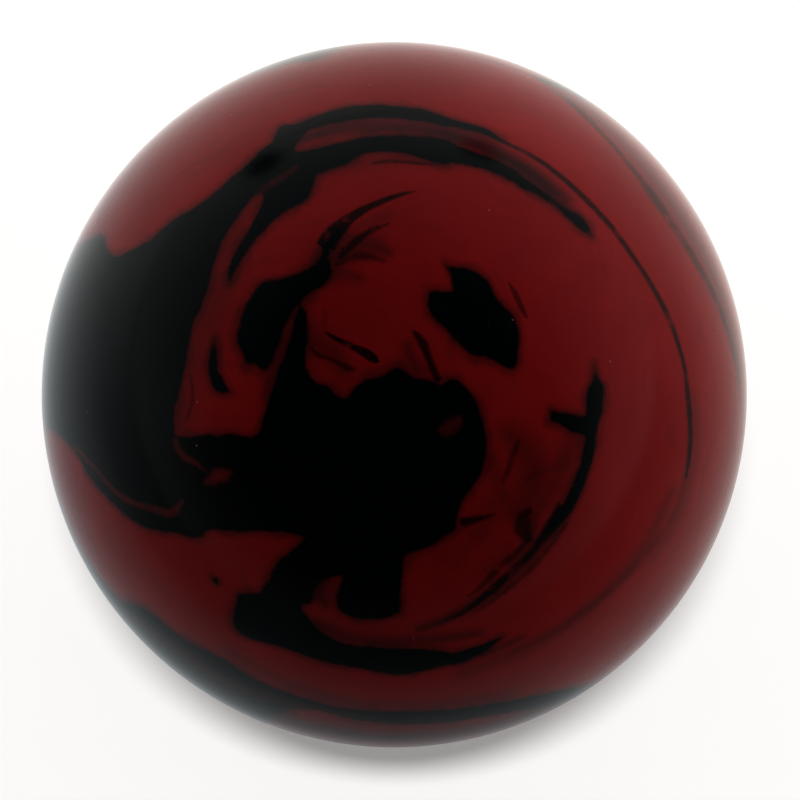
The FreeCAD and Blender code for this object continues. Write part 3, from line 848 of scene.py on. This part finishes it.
pinLook = {
    "low": (0.24, 0.014, 0.016, 1),
    "high": (0.31, 0.024, 0.024, 1),
    "grain": (160, 3, 0.55),
    "roughness": 0.14,
    "scratches": 0.08,
    "scratchGrain": (1800, 2),
}


def pinResin():
    material, graph = newMaterial("pinResin")
    where = graph.node("ShaderNodeTexCoord")["Object"]
    colour = graph.mixColour(graph.noise(where, *pinLook["grain"]), pinLook["low"], pinLook["high"])
    roughness = graph.noise(where, *pinLook["scratchGrain"]) * pinLook["scratches"] + pinLook["roughness"]
    shader = graph.node("ShaderNodeBsdfPrincipled", None, {
        "Base Color": colour, "Roughness": roughness, "IOR": resin["ior"]})["BSDF"]
    finishMaterial(graph, shader)
    return material


coreLook = {
    "low": (0.25, 0.235, 0.21, 1),
    "high": (0.36, 0.34, 0.31, 1),
    "filler": (0.11, 0.1, 0.09, 1),
    "fillerShare": (0.56, 0.7),
    "fillerGrain": (1500, 3, 0.6),
    "roughness": 0.55,
    "patchiness": 0.2,
    "patchGrain": (90, 3, 0.5),
    "bump": (0.3, 0.0002),
}


def filledResin():
    material, graph = newMaterial("filledResin")
    where = graph.node("ShaderNodeTexCoord")["Object"]
    grain = graph.noise(where, *coreLook["fillerGrain"])
    patches = graph.noise(where, *coreLook["patchGrain"])
    base = graph.mixColour(patches, coreLook["low"], coreLook["high"])
    colour = graph.mixColour(graph.ease(grain, *coreLook["fillerShare"]), base, coreLook["filler"])
    strength, depth = coreLook["bump"]
    normal = graph.node("ShaderNodeBump", None, {
        "Strength": strength, "Distance": depth, "Height": grain})["Normal"]
    roughness = patches * coreLook["patchiness"] + coreLook["roughness"]
    shader = graph.node("ShaderNodeBsdfPrincipled", None, {
        "Base Color": colour, "Roughness": roughness, "Normal": normal})["BSDF"]
    finishMaterial(graph, shader)
    return material


# The pieces
cover = makeCover(marbledResin())
print("cover shaped:", len(cover.data.polygons), "faces")
skin = Skin(cover.data)
layPours(skin)
for layer in faceThreads:
    layThreads(skin, layer)
laySmoke(skin)
print("marbling laid on", len(skin.directions), "vertices")
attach(cover, "root")
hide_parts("cover")

for node, material in (("locator_pin", pinResin()), ("core", filledResin())):
    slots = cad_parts[node].data.materials
    slots.clear()
    slots.append(material)
print("pin and core finished")


# Floor and light
studio = {
    "floorSize": 12.0,
    "floorGap": 0.00002,
    "wallLight": 1.52,  # level with the floor; it fades to nothing straight up
    "wallTilt": (0.16, 0.19),  # how much brighter to the right and behind
    "mirrored": (0.25, 0.62),  # how much of the walls' light the ball mirrors, in front and elsewhere
    "mirroredFrom": (-0.9, 0),
    "backdrop": 1.0,
    "openingLean": 25,  # degrees from straight up, to the front
    "openingWidth": (43, 76),  # degrees from its axis: dark within, as bright as the walls beyond
    "flags": [(-0.49, 0.867, 0.089), (0.329, 0.933, 0.143)],  # which way two small dark flags stand
    "flagWidth": (1.5, 6.5),
    "lampPlace": (-0.05, -0.03, 6.0),
    "lampSize": (1.28, 0.56),  # across and along the camera's view
    "lampPower": 260,
    "paperTones": [(0.862, 0.856, 0.848, 1), (0.88, 0.874, 0.864, 1)],
    "paperGrain": (30, 2),
    "glowTone": (1, 0.995, 0.985, 1),
    "paperGlow": 0.185,  # painted fill light: the paper's own glow for the camera, on top of what falls on it, lifting the shadow round the ball
    "glowReach": (0.1, 0.9),  # ball radii from the foot where that painted fill starts and is full, so the shadow stays darkest at the foot
    "farGlow": (0.5, 2.5, 0.5),  # metres from the foot, and how much more the paper glows there
    # How bright the ball sees the paper: all round, to the right, back, both sides and the back corners
    "paperShare": (0.85, -0.05, 0.45, 0.2, 0.4),
    "paperDim": (0.13, 0.42, 0.6),  # it fades between these metres from the foot, by this share
    "dimFrom": (0.7, -0.7),  # not at all behind, and fully in front
    "paperCool": (0.9, 1.0, 1.05, 1),  # its tint there, to the front and left
    "paperWarm": (1.03, 1.0, 0.95, 1),  # and to the back and right
    "paperWarmth": (0.6, 0.8, -0.9, 0.9),  # how the tint turns from one to the other: right, back, from, to
}


def makeFloor():
    mesh = bpy.data.meshes.new("floor")
    half = studio["floorSize"] / 2
    level = -ball["radius"] - studio["floorGap"]
    corners = [(-half, -half, level), (half, -half, level), (half, half, level), (-half, half, level)]
    mesh.from_pydata(corners, [], [(0, 1, 2, 3)])
    floor = bpy.data.objects.new("floor", mesh)
    bpy.context.collection.objects.link(floor)
    material, graph = newMaterial("palePaper")
    where = graph.node("ShaderNodeTexCoord")["Object"]
    tone = graph.mixColour(graph.noise(where, *studio["paperGrain"]), *studio["paperTones"])

    # The light that the paper gives the ball is weaker and cooler in front than behind
    flat = graph.vectorMaths("MULTIPLY", where, (1, 1, 0))
    parts = graph.split(graph.vectorMaths("NORMALIZE", flat))
    around, right, back, sides, backCorners = studio["paperShare"]
    beside = abs(parts["X"])
    behind = parts["Y"].maths("MAXIMUM", 0)
    share = parts["X"] * right + parts["Y"] * back + beside * sides + behind * beside * backCorners + around
    distance = graph.vectorMaths("LENGTH", flat)
    start, full, less = studio["paperDim"]
    inFront = graph.ease(parts["Y"], *studio["dimFrom"])
    share = share * (1 - graph.ease(distance, start, full) * inFront * less)
    seen = graph.node("ShaderNodeLightPath")["Is Camera Ray"]
    share = share * (1 - seen) + seen
    warmRight, warmBack, coolest, warmest = studio["paperWarmth"]
    warmth = graph.ease(parts["X"] * warmRight + parts["Y"] * warmBack, coolest, warmest)
    tint = graph.mixColour(warmth, studio["paperCool"], studio["paperWarm"])
    tint = graph.mixColour(seen, tint, (1, 1, 1, 1))
    tone = graph.scaled(graph.vectorMaths("MULTIPLY", tone, tint), share)
    lit = graph.node("ShaderNodeBsdfDiffuse", None, {"Color": tone})[0]

    # Light painted on the paper that the camera alone sees: near the ball a painted fill that lifts the
    # shadow round it, fading out towards the foot; farther off an even white
    start, full = (radii * ball["radius"] for radii in studio["glowReach"])
    near, far, more = studio["farGlow"]
    strength = graph.ease(distance, start, full) * studio["paperGlow"]
    strength = (strength + graph.ease(distance, near, far) * more) * seen
    glow = graph.node("ShaderNodeEmission", None, {"Color": studio["glowTone"], "Strength": strength})[0]
    finishMaterial(graph, graph.node("ShaderNodeAddShader", None, {0: lit, 1: glow})[0])
    mesh.materials.append(material)
    return floor


def makeWorld():
    # White walls all round, with a dark opening in front. The camera itself sees a plain pale backdrop.
    world = bpy.data.worlds.new("studio")
    world.use_nodes = True
    world.node_tree.nodes.clear()
    graph = Graph(world.node_tree)
    towards = graph.node("ShaderNodeTexCoord")["Generated"]
    lean = math.radians(studio["openingLean"])
    facing = graph.vectorMaths("DOT_PRODUCT", towards, (0, -math.sin(lean), math.cos(lean)))
    dark, bright = (math.cos(math.radians(a)) for a in studio["openingWidth"])
    parts = graph.split(towards)
    right, back = studio["wallTilt"]
    tilt = parts["X"] * right + parts["Y"] * back + 1
    walls = graph.ease(facing, dark, bright) * tilt * (1 - parts["Z"]) * studio["wallLight"]
    bright, dark = (math.cos(math.radians(a)) for a in studio["flagWidth"])
    for flag in studio["flags"]:
        walls = walls * graph.ease(graph.vectorMaths("DOT_PRODUCT", towards, flag), bright, dark)
    path = graph.node("ShaderNodeLightPath")
    least, most = studio["mirrored"]
    mirrored = graph.ease(parts["Y"], *studio["mirroredFrom"]) * (most - least) + least
    walls = walls * (1 - path["Is Glossy Ray"] * (1 - mirrored))
    seen = path["Is Camera Ray"]
    strength = walls * (1 - seen) + seen * studio["backdrop"]
    surround = graph.node("ShaderNodeBackground", None, {"Color": (1, 1, 1, 1), "Strength": strength})[0]
    graph.node("ShaderNodeOutputWorld", None, {"Surface": surround})
    bpy.context.scene.world = world


def makeLamp(floor):
    # A soft lamp overhead that lights the paper alone, and isn't mirrored in the ball
    data = bpy.data.lights.new("overhead", "AREA")
    data.shape = "ELLIPSE"
    data.size, data.size_y = studio["lampSize"]
    data.energy = studio["lampPower"]
    lamp = bpy.data.objects.new("overhead", data)
    lamp.location = studio["lampPlace"]
    bpy.context.collection.objects.link(lamp)
    lamp.visible_glossy = False
    paper = bpy.data.collections.new("paper")
    paper.objects.link(floor)
    lamp.light_linking.receiver_collection = paper


camera = {
    "elevation": 80,
    "distance": 10,  # ball radii
    "lens": 157.9,
    "shift": (0.0072, -0.0066),
    "clipStart": 0.01,
}


def makeCamera():
    data = bpy.data.cameras.new("camera")
    data.lens = camera["lens"]
    data.shift_x, data.shift_y = camera["shift"]
    data.clip_start = camera["clipStart"]
    eye = bpy.data.objects.new("camera", data)
    lift = math.radians(camera["elevation"])
    direction = Vector((0, -math.cos(lift), math.sin(lift)))
    eye.location = direction * ball["radius"] * camera["distance"]
    eye.rotation_euler = direction.to_track_quat("Z", "Y").to_euler()
    bpy.context.collection.objects.link(eye)
    bpy.context.scene.camera = eye


makeLamp(makeFloor())
makeWorld()
makeCamera()
bpy.context.scene.view_settings.view_transform = "Standard"
print("studio ready")
